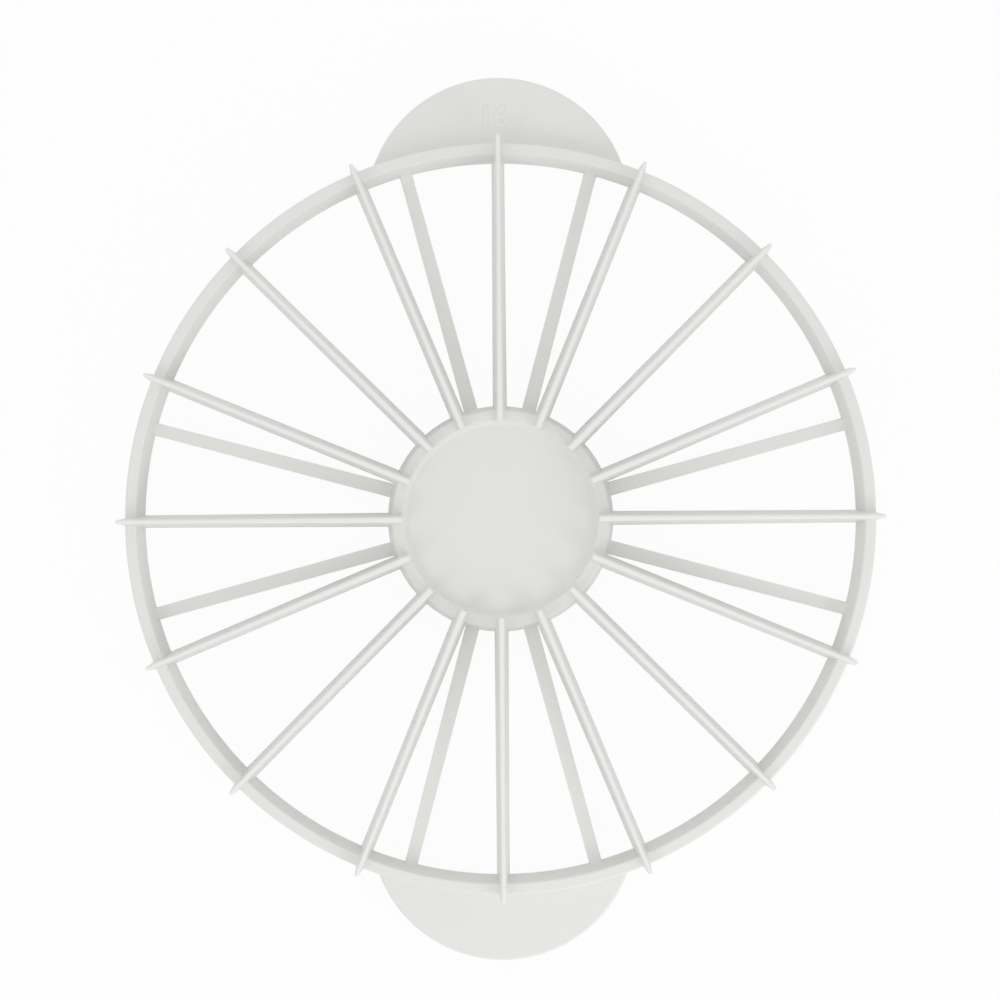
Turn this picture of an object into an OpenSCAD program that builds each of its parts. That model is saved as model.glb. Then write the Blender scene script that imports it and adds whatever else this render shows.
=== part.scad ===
// Two-sided cake portion marker: a wheel of narrow blades that presses portion lines into a cake.
// The upper face marks many small portions, the lower face fewer and larger ones.
// It is one moulding, symmetric about a middle plane apart from its blades.
// The handles lie along Y, and Z = 0 is the surface that the lower blades rest on.

/* [Portions] */
// Portions that the upper face marks, with a blade on the handles' axis
upper_portions = 16; // [6:2:20]
// Portions that the lower face marks, turned by half a portion
lower_portions = 12; // [6:2:16]

/* [Ring] */
// Diameter over the outer edges of the ring's flat rims
ring_d = 270; // [200:1:340]
// Height of the ring over both rims
ring_h = 16.2; // [9:0.1:24]
// Width of the flat rim on each face, before its edges are rounded
rim_w = 4.0; // [2.4:0.1:8]
// How far the outer wall leans out from a rim to the middle plane
outer_lean = 0.3; // [0:0.05:1]
// How far the inner wall leans in from a rim to the middle plane
inner_lean = 2.4; // [0:0.1:5]
// Rounding of the rims' edges
rim_edge_r = 0.8; // [0.2:0.1:1.1]

/* [Blades] */
// Height of a blade from the middle plane to its marking ridge
blade_h = 13.8; // [9:0.1:24]
// Width of a blade on the middle plane, where it leaves the hub
blade_root_w = 5.1; // [3:0.1:8]
// Width of a blade on the middle plane, where it meets the ring
blade_end_w = 4.6; // [2.6:0.1:8]
// Width of the marking ridge at the blade's narrower end
ridge_w = 1.35; // [0.4:0.05:2]
// Rounding of the ridge's edges, along it and at its two ends
ridge_edge_r = 0.4; // [0.1:0.05:0.5]
// How far the blade tips reach past the ring
tip_reach = 3.0; // [0.5:0.1:8]
// Drop from the rim to the foot of a tip's slanted end, on the ring's outer wall
tip_drop = 1.0; // [0.2:0.1:4]

/* [Hub] */
// Diameter over the outer edges of the hub's rims
hub_d = 78.6; // [50:0.2:110]
// Height of the hub over both rims
hub_h = 10.8; // [7:0.1:20]
// Width of the hub's rims
hub_rim_w = 4.0; // [2:0.1:8]
// How far the hub's outer wall leans out from a rim to the middle plane
hub_lean = 1.5; // [0:0.1:3]
// How far a recess's wall leans in from its edge to its floor
recess_lean = 1.1; // [0:0.1:2]
// Rounding of a recess's edge
recess_edge_r = 0.3; // [0.1:0.1:0.6]
// Fillet between a recess's wall and its floor
recess_fillet_r = 0.5; // [0.1:0.1:1.5]
// Thickness of the web between the two recesses
web_t = 4.6; // [2:0.1:6]
// Rounding of the hub rims' outer edges
hub_edge_r = 0.8; // [0.2:0.1:1.5]
// Diameter of the moulding gate's shallow dish, on the lower face
gate_d = 5.0; // [2:0.1:10]
// Depth of that dish
gate_depth = 0.4; // [0.1:0.1:0.8]

/* [Handles] */
// Radius of a handle's curved outline
handle_r = 47.8; // [38:0.1:60]
// How far each handle stands out past the ring
handle_reach = 24.5; // [15:0.5:34]
// Thickness of the handle plates
handle_t = 4.6; // [2:0.1:7]
// Rounding of the handles' outer edges
handle_edge_r = 1.0; // [0.2:0.1:1]

/* [Hidden] */
$fn = 96;

// Radii of the ring's walls, at the rims and on the middle plane
ring_r = ring_d / 2;
rim_in_r = ring_r - rim_w;
mid_in_r = rim_in_r - inner_lean;
// Radius inside the ring's material at every height, where blades and handles end
core_r = ring_r - rim_w / 2;

// Radii of the hub's walls
hub_r = hub_d / 2;
recess_r = hub_r - hub_rim_w;
floor_r = recess_r - recess_lean;
// Radius at which the recesses' walls, carried on, would meet on the middle plane
walls_meet_r = recess_r - recess_lean * hub_h / (hub_h - web_t);
// Roundings of its edge and its floor, each kept to its half of the wall
half_wall = norm([recess_lean, (hub_h - web_t) / 2]) / 2;
recess_round = min(recess_edge_r, half_wall * 0.9);
floor_round = min(recess_fillet_r, half_wall * 0.9);

// Turn of each flank in plan, which takes a blade evenly from its root width to its end width
flank_turn = atan((blade_root_w - blade_end_w) / 2 / (mid_in_r - hub_r));
// Distance of each flank from the wheel's centre, on the middle plane
flank_off = (blade_root_w / 2 + hub_r * tan(flank_turn)) * cos(flank_turn);
// How far each flank leans in from the middle plane to the ridge
flank_lean = (min(blade_root_w, blade_end_w) - ridge_w) / 2;
// Rounding that leaves a flat on the narrowest ridge
ridge_round = min(ridge_edge_r, ridge_w * 0.45);
tip_r = ring_r + tip_reach;

// Length added to a cutting or crossing shape, so that it passes the faces it cuts
pass = 5;

// Unit vector from p towards q
function toward(p, q) = (q - p) / norm(q - p);

// Distance from a corner to the points where an arc of radius r touches its two sides
function touch(prev, p, next, r) = r / tan(acos(toward(p, prev) * toward(p, next)) / 2);

// Outline with each corner rounded to the radius of the same index. Corners that turn inwards take 0.
module rounded_outline(points, radii) {
    n = len(points);
    corners = [
        for (i = [0 : n - 1])
            let (prev = points[(i + n - 1) % n], p = points[i], next = points[(i + 1) % n])
                [prev, p, next, radii[i]]
    ];
    polygon([
        for (c = corners)
            each c[3] == 0
                ? [c[1]]
                : [
                    c[1] + toward(c[1], c[0]) * touch(c[0], c[1], c[2], c[3]),
                    c[1] + toward(c[1], c[2]) * touch(c[0], c[1], c[2], c[3])
                ]
    ]);
    for (c = corners)
        if (c[3] > 0) {
            inward = toward([0, 0], toward(c[1], c[0]) + toward(c[1], c[2]));
            to_touch = touch(c[0], c[1], c[2], c[3]);
            translate(c[1] + inward * norm([to_touch, c[3]])) circle(r = c[3]);
        }
}

// Fillet in the inner corner at p: the wedge between its two sides and the arc that touches both
module fillet(prev, p, next, r) {
    inward = toward([0, 0], toward(p, prev) + toward(p, next));
    to_touch = touch(prev, p, next, r);
    difference() {
        polygon([
            p - inward * r,
            p + toward(p, prev) * to_touch,
            p + inward * norm([to_touch, r]),
            p + toward(p, next) * to_touch
        ]);
        translate(p + inward * norm([to_touch, r])) circle(r = r);
    }
}

// Ring with a flat rim on each face and walls that lean out from both rims to the middle plane
module ring() {
    rotate_extrude()
        rounded_outline(
            [
                [rim_in_r, ring_h / 2],
                [mid_in_r, 0],
                [rim_in_r, -ring_h / 2],
                [ring_r, -ring_h / 2],
                [ring_r + outer_lean, 0],
                [ring_r, ring_h / 2]
            ],
            [rim_edge_r, 0, rim_edge_r, rim_edge_r, 0, rim_edge_r]
        );
}

// Section of the hub: its rim, the web that closes it and the fillets of the two recesses' floors
module hub_section() {
    rounded_outline(
        [
            [recess_r, hub_h / 2],
            [walls_meet_r, 0],
            [recess_r, -hub_h / 2],
            [hub_r, -hub_h / 2],
            [hub_r + hub_lean, 0],
            [hub_r, hub_h / 2]
        ],
        [recess_round, 0, recess_round, hub_edge_r, 0, hub_edge_r]
    );
    polygon([[0, -web_t / 2], [recess_r, -web_t / 2], [recess_r, web_t / 2], [0, web_t / 2]]);
    for (side = [1, -1])
        fillet(
            [0, side * web_t / 2],
            [floor_r, side * web_t / 2],
            [recess_r, side * hub_h / 2],
            floor_round
        );
}

// Hub with a recess on each face and the gate's dish in the lower one
module hub() {
    difference() {
        rotate_extrude() hub_section();
        translate([0, 0, -web_t / 2]) cylinder(d = gate_d, h = gate_depth * 2, center = true);
    }
}

// Bar along X that ends at a blade's flank on the +Y side and runs on past the other flank
module flank_side() {
    far = blade_root_w + blade_end_w;
    rotate([0, 0, -flank_turn])
        rotate([90, 0, 90])
            linear_extrude(tip_r + pass)
                rounded_outline(
                    [[-far, 0], [flank_off, 0], [flank_off - flank_lean, blade_h], [-far, blade_h]],
                    [0, 0, ridge_round, 0]
                );
}

// One upper blade along X: a side outline from the recess's edge to a slanted tip, cut to leaning flanks
module blade() {
    intersection() {
        rotate([90, 0, 0])
            linear_extrude(blade_root_w + blade_end_w, center = true)
                rounded_outline(
                    [
                        [recess_r, 0],
                        [core_r, 0],
                        [ring_r, ring_h / 2 - tip_drop],
                        [tip_r, blade_h],
                        [recess_r, blade_h]
                    ],
                    [0, 0, 0, ridge_round, ridge_round]
                );
        flank_side();
        mirror([0, 1, 0]) flank_side();
    }
}

// Upper blades, or lower ones when mirrored: count of them, the first at the angle start
module blade_set(count, start) {
    for (i = [0 : count - 1])
        rotate([0, 0, start + i * 360 / count])
            blade();
}

// Crescent plate beyond the ring, its curved edge rounded on both faces
module handle() {
    difference() {
        translate([0, ring_r + handle_reach - handle_r, 0])
            rotate_extrude()
                rounded_outline(
                    [
                        [0, handle_t / 2],
                        [0, -handle_t / 2],
                        [handle_r, -handle_t / 2],
                        [handle_r, handle_t / 2]
                    ],
                    [0, 0, handle_edge_r, handle_edge_r]
                );
        cylinder(r = core_r, h = handle_t + pass, center = true);
    }
}

// The whole moulding, about its middle plane and then lifted onto its lower blades
module cake_marker() {
    color("ivory")
        translate([0, 0, blade_h])
            union() {
                ring();
                hub();
                blade_set(upper_portions, 0);
                mirror([0, 0, 1]) blade_set(lower_portions, 180 / lower_portions);
                handle();
                mirror([0, 1, 0]) handle();
            }
}

cake_marker();
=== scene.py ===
"""Looks of a two-sided cake portion marker: one white moulding with a ring, a hub, blades and two handle plates."""

import math

import bmesh
import bpy
from mathutils import Matrix, Vector


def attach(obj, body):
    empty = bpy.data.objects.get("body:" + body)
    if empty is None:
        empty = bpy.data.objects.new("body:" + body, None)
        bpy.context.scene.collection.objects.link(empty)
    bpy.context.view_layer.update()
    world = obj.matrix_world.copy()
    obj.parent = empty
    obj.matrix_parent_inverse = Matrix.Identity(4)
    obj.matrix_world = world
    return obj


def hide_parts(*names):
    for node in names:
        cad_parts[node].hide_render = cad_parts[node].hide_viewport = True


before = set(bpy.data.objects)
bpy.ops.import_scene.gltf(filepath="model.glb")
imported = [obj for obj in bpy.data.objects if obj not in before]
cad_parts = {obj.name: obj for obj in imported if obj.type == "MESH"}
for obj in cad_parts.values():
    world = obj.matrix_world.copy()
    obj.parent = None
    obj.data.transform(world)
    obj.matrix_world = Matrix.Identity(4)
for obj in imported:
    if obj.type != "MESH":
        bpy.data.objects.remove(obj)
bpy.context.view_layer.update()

# Sizes in metres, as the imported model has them. Heights are counted from the middle plane.
MM = 0.001
MID_Z = 13.8 * MM
RING_R = 135.0 * MM
RING_HALF = 8.1 * MM
RIM_IN_R = 131.0 * MM
RING_MID_IN_R = 128.6 * MM
OUTER_LEAN = 0.3 * MM
RIM_EDGE_R = 0.8 * MM
CORE_R = 133.0 * MM
HUB_R = 39.3 * MM
HUB_HALF = 5.4 * MM
HUB_LEAN = 1.5 * MM
HUB_EDGE_R = 0.8 * MM
RECESS_R = 35.3 * MM
FLOOR_R = 34.2 * MM
RECESS_EDGE_R = 0.3 * MM
RECESS_FILLET_R = 0.5 * MM
WEB_HALF = 2.3 * MM
GATE_R = 2.5 * MM
GATE_DEPTH = 0.4 * MM
BLADE_H = 13.8 * MM
ROOT_HALF = 2.55 * MM
END_HALF = 2.3 * MM
RIDGE_END_HALF = 0.675 * MM
TIP_R = 138.0 * MM
TIP_FOOT = 7.1 * MM
HANDLE_R = 47.8 * MM
HANDLE_Y = 111.7 * MM
HANDLE_HALF = 2.3 * MM
HANDLE_EDGE_R = 1.0 * MM
UPPER_PORTIONS = 16
LOWER_PORTIONS = 12

# Sizes of the finer forms: small edges, the curved corners at the ring and the numerals
GATE_EDGE_R = 0.15 * MM
BACK_EDGE = 0.2 * MM
RIDGE_EDGE_WIDTH = 0.75 * MM
ROOT_BLEND_R = 5.0 * MM
NUMERAL_SIZE = 11 * MM
NUMERAL_X = -1.5 * MM
NUMERAL_Y = 145 * MM

TURN_STEPS = 288
WELD_REACH = 0.002 * MM
WHITE = (1, 1, 1, 1)


def in_scene(name, data):
    """Object with a mesh, a curve, a lamp or a lens, linked to the scene."""
    made = bpy.data.objects.new(name, data)
    bpy.context.scene.collection.objects.link(made)
    return made


def new_object(name, mesh):
    """Object from an edit mesh, with its faces pointing outwards."""
    bmesh.ops.recalc_face_normals(mesh, faces=mesh.faces)
    data = bpy.data.meshes.new(name)
    mesh.to_mesh(data)
    mesh.free()
    return in_scene(name, data)


def plain_mesh(source):
    """Mesh of an object with its modifiers, or its letters, worked out."""
    scene_now = bpy.context.evaluated_depsgraph_get()
    return bpy.data.meshes.new_from_object(source.evaluated_get(scene_now))


def weld(data, reach):
    """Joins a mesh's vertices that lie within reach of each other, which closes its seams."""
    mesh = bmesh.new()
    mesh.from_mesh(data)
    bmesh.ops.remove_doubles(mesh, verts=mesh.verts, dist=reach)
    mesh.to_mesh(data)
    mesh.free()


def band(mesh, one, other):
    """Faces between two closed loops of vertices of the same length."""
    for k in range(len(one)):
        n = (k + 1) % len(one)
        mesh.faces.new([one[k], one[n], other[n], other[k]])


def rounded_outline(corners, steps=4):
    """Outline of (x, y, radius) corners, each replaced by an arc of that radius."""
    outline = []
    for i, (x, y, radius) in enumerate(corners):
        here = Vector((x, y))
        if radius == 0:
            outline.append(here)
            continue
        before = (Vector(corners[i - 1][:2]) - here).normalized()
        after = (Vector(corners[(i + 1) % len(corners)][:2]) - here).normalized()
        half = before.angle(after) / 2
        centre = here + (before + after).normalized() * radius / math.sin(half)
        start = here + before * radius / math.tan(half) - centre
        turn = start.angle_signed(here + after * radius / math.tan(half) - centre)
        for k in range(steps + 1):
            outline.append(centre + Matrix.Rotation(-turn * k / steps, 2) @ start)
    return outline


def turned(mesh, outline, on_axis=False):
    """Adds an outline turned about Z. One that starts and ends on the axis is closed by a pole at each end."""
    rings = []
    for r, z in outline:
        if on_axis and r < 1e-9:
            rings.append([mesh.verts.new((0, 0, z))])
            continue
        rings.append([
            mesh.verts.new((r * math.cos(a), r * math.sin(a), z))
            for a in (2 * math.pi * k / TURN_STEPS for k in range(TURN_STEPS))
        ])
    pairs = list(zip(rings, rings[1:])) + ([] if on_axis else [(rings[-1], rings[0])])
    for lower, upper in pairs:
        for k in range(TURN_STEPS):
            n = (k + 1) % TURN_STEPS
            face = [lower[k % len(lower)], lower[n % len(lower)], upper[n % len(upper)], upper[k % len(upper)]]
            mesh.faces.new(list(dict.fromkeys(face)))


def ring_and_hub():
    """Ring with rounded rims, and the hub with its two recesses and the gate's dish on the lower face."""
    mesh = bmesh.new()
    turned(mesh, rounded_outline([
        (RIM_IN_R, RING_HALF, RIM_EDGE_R),
        (RING_MID_IN_R, 0, 0),
        (RIM_IN_R, -RING_HALF, RIM_EDGE_R),
        (RING_R, -RING_HALF, RIM_EDGE_R),
        (RING_R + OUTER_LEAN, 0, 0),
        (RING_R, RING_HALF, RIM_EDGE_R),
    ]))
    turned(mesh, rounded_outline([
        (0, -WEB_HALF + GATE_DEPTH, 0),
        (GATE_R, -WEB_HALF + GATE_DEPTH, GATE_EDGE_R),
        (GATE_R, -WEB_HALF, GATE_EDGE_R),
        (FLOOR_R, -WEB_HALF, RECESS_FILLET_R),
        (RECESS_R, -HUB_HALF, RECESS_EDGE_R),
        (HUB_R, -HUB_HALF, HUB_EDGE_R),
        (HUB_R + HUB_LEAN, 0, 0),
        (HUB_R, HUB_HALF, HUB_EDGE_R),
        (RECESS_R, HUB_HALF, RECESS_EDGE_R),
        (FLOOR_R, WEB_HALF, RECESS_FILLET_R),
        (0, WEB_HALF, 0),
    ]), on_axis=True)
    return new_object("ring_and_hub", mesh)


def blade(name, on_both_faces):
    """Blade along X, from the middle plane up, with a rounded ridge and tip. Its flat back shows from the other face.
    One on both faces has the same blade below the middle plane, in one piece with the upper one."""
    narrowing = (ROOT_HALF - END_HALF) / (RING_MID_IN_R - HUB_R)
    lean = (END_HALF - RIDGE_END_HALF) / BLADE_H
    foot = [(RECESS_R, 0), (CORE_R, 0)]
    top = [(RING_R, TIP_FOOT), (TIP_R, BLADE_H), (RECESS_R, BLADE_H)]
    mesh = bmesh.new()

    def corner(x, z, side):
        half = ROOT_HALF - (x - HUB_R) * narrowing - abs(z) * lean
        return mesh.verts.new((x, side * half, z))

    feet = {side: [corner(x, z, side) for x, z in foot] for side in (1, -1)}
    soft = []
    for face in (1, -1) if on_both_faces else (1,):
        tops = {side: [corner(x, face * z, side) for x, z in top] for side in (1, -1)}
        loops = {side: feet[side] + tops[side] for side in (1, -1)}
        for side in (1, -1):
            mesh.faces.new(loops[side])
        for k in range(1, 5):
            n = (k + 1) % 5
            mesh.faces.new([loops[1][k], loops[1][n], loops[-1][n], loops[-1][k]])
        tip_foot, tip, inner_end = ([tops[side][k] for side in (1, -1)] for k in range(3))
        soft += [mesh.edges.get(pair) for pair in zip(tip_foot, tip)]
        soft += [mesh.edges.get(pair) for pair in zip(tip, inner_end)]
        soft += [mesh.edges.get(tip), mesh.edges.get(inner_end)]
    if not on_both_faces:
        mesh.faces.new([feet[1][0], feet[1][1], feet[-1][1], feet[-1][0]])
        backs = [mesh.edges.get(feet[side]) for side in (1, -1)]
        bmesh.ops.recalc_face_normals(mesh, faces=mesh.faces)
        bmesh.ops.bevel(mesh, geom=backs, offset=BACK_EDGE, segments=2, profile=0.5, affect="EDGES")
        soft = [e for e in soft if e.is_valid]
    bmesh.ops.bevel(mesh, geom=soft, offset_type="WIDTH", offset=RIDGE_EDGE_WIDTH, segments=4, profile=0.5,
                    affect="EDGES", clamp_overlap=True)
    return new_object(name, mesh)


def root_blend():
    """Curved corner between a single blade's flat back and the ring's inner wall, with its ends inside both."""
    sink, overlap, half = 0.004 * MM, 1.0 * MM, END_HALF - 0.25 * MM
    back = (HUB_R, sink, 0)
    corner = (RING_MID_IN_R, sink, ROOT_BLEND_R)
    wall = (RING_MID_IN_R + 2 * (RIM_IN_R - RING_MID_IN_R), sink - 2 * RING_HALF, 0)
    arc = rounded_outline([back, corner, wall], steps=8)[1:-1]
    inside_x = arc[-1].x + overlap
    outline = [tuple(p) for p in arc] + [(inside_x, arc[-1].y), (inside_x, overlap / 2), (arc[0].x, overlap / 2)]
    mesh = bmesh.new()
    sides = [[mesh.verts.new((x, side * half, z)) for x, z in outline] for side in (1, -1)]
    for side in sides:
        mesh.faces.new(side)
    band(mesh, *sides)
    return new_object("root_blend", mesh)


def handle_plate():
    """Crescent plate on +Y with its curved edge rounded. Its inner arc lies inside the ring's wall."""
    arc_steps, inner_steps, edge_steps = 72, 16, 5
    levels = []
    for k in range(edge_steps + 1):
        a = math.radians(90 * k / edge_steps)
        levels.append((
            HANDLE_R - HANDLE_EDGE_R + HANDLE_EDGE_R * math.sin(a),
            -HANDLE_HALF + HANDLE_EDGE_R - HANDLE_EDGE_R * math.cos(a),
        ))
    levels += [(r, -z) for r, z in reversed(levels)]
    mesh = bmesh.new()
    loops = []
    for radius, z in levels:
        cut_y = (CORE_R ** 2 - radius ** 2 + HANDLE_Y ** 2) / (2 * HANDLE_Y)
        cut_x = math.sqrt(CORE_R ** 2 - cut_y ** 2)
        meet = math.atan2(cut_y - HANDLE_Y, cut_x)
        inner = math.atan2(cut_y, cut_x)
        outer_angles = [meet + (math.pi - 2 * meet) * k / arc_steps for k in range(arc_steps + 1)]
        inner_angles = [math.pi - inner - (math.pi - 2 * inner) * k / inner_steps for k in range(1, inner_steps)]
        loops.append(
            [mesh.verts.new((radius * math.cos(a), HANDLE_Y + radius * math.sin(a), z)) for a in outer_angles]
            + [mesh.verts.new((CORE_R * math.cos(a), CORE_R * math.sin(a), z)) for a in inner_angles]
        )
    for lower, upper in zip(loops, loops[1:]):
        band(mesh, lower, upper)
    mesh.faces.new(loops[0][::-1])
    mesh.faces.new(loops[-1])
    return new_object("handle_plate", mesh)


class Tree:
    """Short forms for adding nodes to a node tree and joining them."""

    def __init__(self, tree):
        self.tree = tree

    def add(self, kind, values=None, **settings):
        made = self.tree.nodes.new(kind)
        for key, value in settings.items():
            setattr(made, key, value)
        for key, value in (values or {}).items():
            if isinstance(value, bpy.types.NodeSocket):
                self.tree.links.new(value, made.inputs[key])
            else:
                made.inputs[key].default_value = value
        return made

    def math(self, operation, a, b=0.0):
        return self.add("ShaderNodeMath", {0: a, 1: b}, operation=operation).outputs[0]

    def between(self, share, a, b):
        """Colour that goes from a to b as share goes from 0 to 1."""
        return self.add("ShaderNodeMix", {0: share, 6: a, 7: b}, data_type="RGBA").outputs[2]

    def realized(self, geometry):
        return self.add("GeometryNodeRealizeInstances", {"Geometry": geometry}).outputs[0]


def emptied_tree(owner):
    """Node tree of a material or a world, with nothing in it."""
    owner.use_nodes = True
    owner.node_tree.nodes.clear()
    return Tree(owner.node_tree)


def repeated(t, count, start, flip, shape, selection=None):
    """Instances of a shape about Z, the first at the angle start, turned over where flip is half a turn."""
    points = t.add("GeometryNodePoints", {"Count": count})
    index = t.add("GeometryNodeInputIndex").outputs[0]
    step = t.math("DIVIDE", 2 * math.pi, count)
    angle = t.math("ADD", t.math("MULTIPLY", index, step), start)
    euler = t.add("ShaderNodeCombineXYZ", {"X": flip, "Z": angle})
    turn = t.add("FunctionNodeEulerToRotation", {0: euler.outputs[0]})
    placed = t.add("GeometryNodeInstanceOnPoints", {
        "Points": points.outputs[0],
        "Instance": shape,
        "Rotation": turn.outputs[0],
    })
    if selection is not None:
        t.tree.links.new(selection, placed.inputs["Selection"])
    return placed.outputs[0]


def blade_ring(t, count, start, flip, single, every, first, shared=None):
    """A shape on one face's single spokes. Each so many-th spoke carries a blade on both faces and gets the shared
    shape instead, or none."""
    index = t.add("GeometryNodeInputIndex").outputs[0]
    place = t.math("FLOORED_MODULO", t.math("SUBTRACT", index, first), every)
    on_both = t.math("LESS_THAN", place, 0.5)
    rings = [repeated(t, count, start, flip, single, t.math("SUBTRACT", 1.0, on_both))]
    if shared is not None:
        rings.append(repeated(t, count, start, flip, shared, on_both))
    joined = t.add("GeometryNodeJoinGeometry")
    for ring in rings:
        t.tree.links.new(ring, joined.inputs[0])
    return t.realized(joined.outputs[0])


def marking_wheel_tree():
    """Tree that joins the ring and hub with both faces' blades, their curved corners and the two handle plates."""
    tree = bpy.data.node_groups.new("marking wheel", "GeometryNodeTree")
    sockets = [
        ("Ring and hub", "NodeSocketGeometry"),
        ("Single blade", "NodeSocketObject"),
        ("Shared blade", "NodeSocketObject"),
        ("Root blend", "NodeSocketObject"),
        ("Handle plate", "NodeSocketObject"),
        ("Upper portions", "NodeSocketInt"),
        ("Lower portions", "NodeSocketInt"),
        ("Lower start", "NodeSocketFloat"),
        ("Upper shared every", "NodeSocketInt"),
        ("Upper shared first", "NodeSocketInt"),
        ("Lower shared every", "NodeSocketInt"),
        ("Lower shared first", "NodeSocketInt"),
        ("Height of the middle plane", "NodeSocketFloat"),
        ("Plastic", "NodeSocketMaterial"),
    ]
    for name, kind in sockets:
        tree.interface.new_socket(name=name, in_out="INPUT", socket_type=kind)
    tree.interface.new_socket(name="Moulding", in_out="OUTPUT", socket_type="NodeSocketGeometry")
    t = Tree(tree)
    given = t.add("NodeGroupInput").outputs

    def shape(name):
        return t.add("GeometryNodeObjectInfo", {"Object": given[name]}).outputs["Geometry"]

    single, shared, blend = shape("Single blade"), shape("Shared blade"), shape("Root blend")
    upper = (given["Upper portions"], 0.0, 0.0)
    lower = (given["Lower portions"], given["Lower start"], math.pi)
    upper_shared = (given["Upper shared every"], given["Upper shared first"])
    lower_shared = (given["Lower shared every"], given["Lower shared first"])
    plates = t.realized(repeated(t, 2, 0.0, 0.0, shape("Handle plate")))
    parts = [
        given["Ring and hub"],
        blade_ring(t, *upper, single, *upper_shared, shared),
        blade_ring(t, *lower, single, *lower_shared),
        plates,
        blade_ring(t, *upper, blend, *upper_shared),
        blade_ring(t, *lower, blend, *lower_shared),
    ]
    union = t.add("GeometryNodeMeshBoolean", operation="UNION", solver="EXACT")
    for part in parts:
        tree.links.new(part, union.inputs["Mesh 2"])
    lift = t.add("ShaderNodeCombineXYZ", {"Z": given["Height of the middle plane"]})
    lifted = t.add("GeometryNodeTransform", {"Geometry": union.outputs[0], "Translation": lift.outputs[0]})
    whole = t.realized(lifted.outputs[0])
    painted = t.add("GeometryNodeSetMaterial", {"Geometry": whole, "Material": given["Plastic"]})
    t.add("NodeGroupOutput", {"Moulding": painted.outputs[0]})
    return tree


def moulded_plastic():
    """Slightly warm white satin plastic: fine moulded grain, faint flow marks, uneven gloss and a painted highlight on
    the blades' ridges.
    """
    made = bpy.data.materials.new("moulded white plastic")
    t = emptied_tree(made)
    place = t.add("ShaderNodeTexCoord").outputs["Object"]
    flow = t.add("ShaderNodeTexNoise", {"Vector": place, "Scale": 18.0, "Detail": 3.0, "Roughness": 0.5}).outputs[0]
    tone = t.between(flow, (0.835, 0.835, 0.81, 1), (0.865, 0.865, 0.845, 1))
    height = t.add("ShaderNodeSeparateXYZ", {0: place}).outputs["Z"]
    from_middle = t.math("ABSOLUTE", t.math("SUBTRACT", height, MID_Z))
    # Painted highlight: the top 2.5 mm of each blade is coloured paler, standing in for light that brightens the
    # blades' ridges.
    painted_ridge_highlight = t.add("ShaderNodeMapRange", {"Value": from_middle, "From Min": BLADE_H - 2.5 * MM, "From Max": BLADE_H})
    colour = t.between(painted_ridge_highlight.outputs[0], tone, (0.905, 0.905, 0.885, 1))
    gloss = t.add("ShaderNodeMapRange", {"Value": flow, "To Min": 0.42, "To Max": 0.52})
    grain = t.add("ShaderNodeTexNoise", {"Vector": place, "Scale": 2600.0, "Detail": 2.0, "Roughness": 0.6})
    bump = t.add("ShaderNodeBump", {"Height": grain.outputs[0], "Strength": 0.08, "Distance": 0.08 * MM})
    shader = t.add("ShaderNodeBsdfPrincipled", {
        "Base Color": colour,
        "Roughness": gloss.outputs[0],
        "Normal": bump.outputs[0],
        "IOR": 1.49,
    })
    t.add("ShaderNodeOutputMaterial", {"Surface": shader.outputs[0]})
    return made


def moulding(plastic):
    """The marker as one mesh: the tree's result, made plain, with smooth roundings and crisp flats."""
    body = ring_and_hub()
    shapes = {
        "Handle plate": handle_plate(),
        "Root blend": root_blend(),
        "Single blade": blade("single_blade", False),
        "Shared blade": blade("shared_blade", True),
    }
    tree = marking_wheel_tree()
    ids = {s.name: s.identifier for s in tree.interface.items_tree if s.in_out == "INPUT"}
    modifier = body.modifiers.new("marking wheel", "NODES")
    modifier.node_group = tree
    values = {
        "Upper portions": UPPER_PORTIONS,
        "Lower portions": LOWER_PORTIONS,
        "Lower start": math.pi / LOWER_PORTIONS,
        "Upper shared every": 4,
        "Upper shared first": 2,
        "Lower shared every": 3,
        "Lower shared first": 1,
        "Height of the middle plane": MID_Z,
        "Plastic": plastic,
    }
    for name, value in (shapes | values).items():
        modifier[ids[name]] = value
    data = plain_mesh(body)
    for helper in (body, *shapes.values()):
        bpy.data.objects.remove(helper)
    data.name = "portion_marker"
    weld(data, WELD_REACH)
    data.shade_smooth()
    data.set_sharp_from_angle(angle=math.radians(32))
    for edge in data.edges:
        if all(abs(data.vertices[v].co.z - MID_Z) < 0.001 * MM for v in edge.vertices):
            edge.use_edge_sharp = True
    made = in_scene("portion_marker", data)
    evener = made.modifiers.new("even shading of the flats", "WEIGHTED_NORMAL")
    evener.keep_sharp = True
    return made


def portion_count(plastic):
    """Plain raised numerals on the upper handle plate, which give the number of portions of this face."""
    text = bpy.data.curves.new("portion_count", "FONT")
    text.body = str(UPPER_PORTIONS)
    text.size = NUMERAL_SIZE
    text.align_x = text.align_y = "CENTER"
    text.extrude = 0.14 * MM
    text.bevel_depth = 0.2 * MM
    text.bevel_resolution = 3
    source = in_scene("numerals", text)
    data = plain_mesh(source)
    bpy.data.objects.remove(source)
    weld(data, WELD_REACH / 2)
    data.transform(Matrix.Translation((NUMERAL_X, NUMERAL_Y, MID_Z + HANDLE_HALF)))
    data.materials.clear()
    data.materials.append(plastic)
    return in_scene("portion_count", data)


def seen_or_mirrored(t):
    """1 for rays of the camera, of reflections and through glass, 0 for rays that only light something."""
    rays = t.add("ShaderNodeLightPath").outputs
    seen = t.math("MAXIMUM", rays["Is Camera Ray"], rays["Is Glossy Ray"])
    return t.math("MAXIMUM", seen, rays["Is Transmission Ray"])


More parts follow.
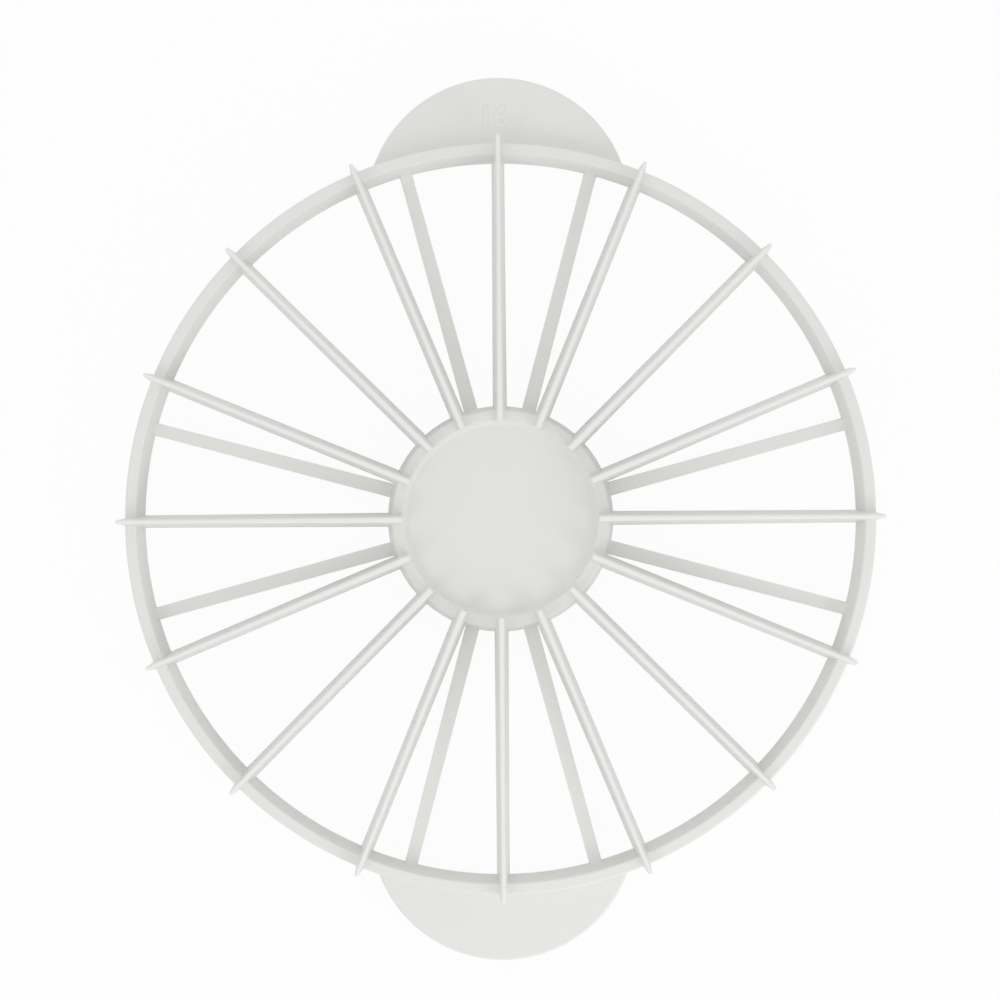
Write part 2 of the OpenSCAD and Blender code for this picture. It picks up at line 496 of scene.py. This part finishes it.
def studio_floor():
    """White table top under the marker. The camera and reflections see it nearly white, with a faint shadow."""
    mesh = bmesh.new()
    bmesh.ops.create_grid(mesh, x_segments=1, y_segments=1, size=3)
    bmesh.ops.translate(mesh, verts=mesh.verts, vec=(0, 0, -0.2 * MM))
    made = new_object("table_top", mesh)
    paint = bpy.data.materials.new("white table top")
    t = emptied_tree(paint)
    matt = t.add("ShaderNodeBsdfDiffuse", {"Color": (0.85, 0.85, 0.85, 1)})
    white = t.add("ShaderNodeEmission", {"Color": WHITE, "Strength": 1.0})
    share = t.math("MULTIPLY", seen_or_mirrored(t), 0.95)
    mix = t.add("ShaderNodeMixShader", {0: share, 1: matt.outputs[0], 2: white.outputs[0]})
    t.add("ShaderNodeOutputMaterial", {"Surface": mix.outputs[0]})
    made.data.materials.append(paint)


def soft_lamp(name, place, target, size, watts):
    """Square lamp that faces a point."""
    light = bpy.data.lights.new(name, "AREA")
    light.shape = "SQUARE"
    light.size = size
    light.energy = watts
    made = in_scene(name, light)
    made.location = place
    made.rotation_euler = (Vector(target) - Vector(place)).to_track_quat("-Z", "Y").to_euler()


def studio():
    """Even surroundings, which look white like the table top, a soft lamp on each side of the lower handle and a weak,
    low one past the upper."""
    lighting, looking = 0.75, 0.98
    world = bpy.data.worlds.new("studio surroundings")
    t = emptied_tree(world)
    strength = t.math("ADD", t.math("MULTIPLY", seen_or_mirrored(t), looking - lighting), lighting)
    glow = t.add("ShaderNodeBackground", {"Color": WHITE, "Strength": strength})
    t.add("ShaderNodeOutputWorld", {"Surface": glow.outputs[0]})
    bpy.context.scene.world = world
    soft_lamp("left lamp", (-0.55, -0.5, 0.7), (0, 0, 0), 0.45, 0.9)
    soft_lamp("right lamp", (0.5, -0.5, 0.35), (0, -0.1, 0), 0.4, 1.1)
    soft_lamp("far lamp", (0, 0.9, 0.16), (0, 0, 0), 0.3, 0.6)


def camera():
    """Camera straight above the marker, a metre over its middle plane, with the picture's slight turn and offset."""
    lens = bpy.data.cameras.new("camera above")
    lens.sensor_width = 36
    lens.lens = 99.4
    made = in_scene("camera above", lens)
    made.location = (-0.19 * MM, 6.83 * MM, MID_Z + 1)
    made.rotation_euler = (0, 0, math.radians(-0.45))
    bpy.context.scene.camera = made


bpy.context.scene.view_settings.view_transform = "Standard"
plastic = moulded_plastic()
marker = moulding(plastic)
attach(marker, "root")
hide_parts("cake_marker")
numerals = portion_count(plastic)
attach(numerals, "root")
studio_floor()
studio()
camera()
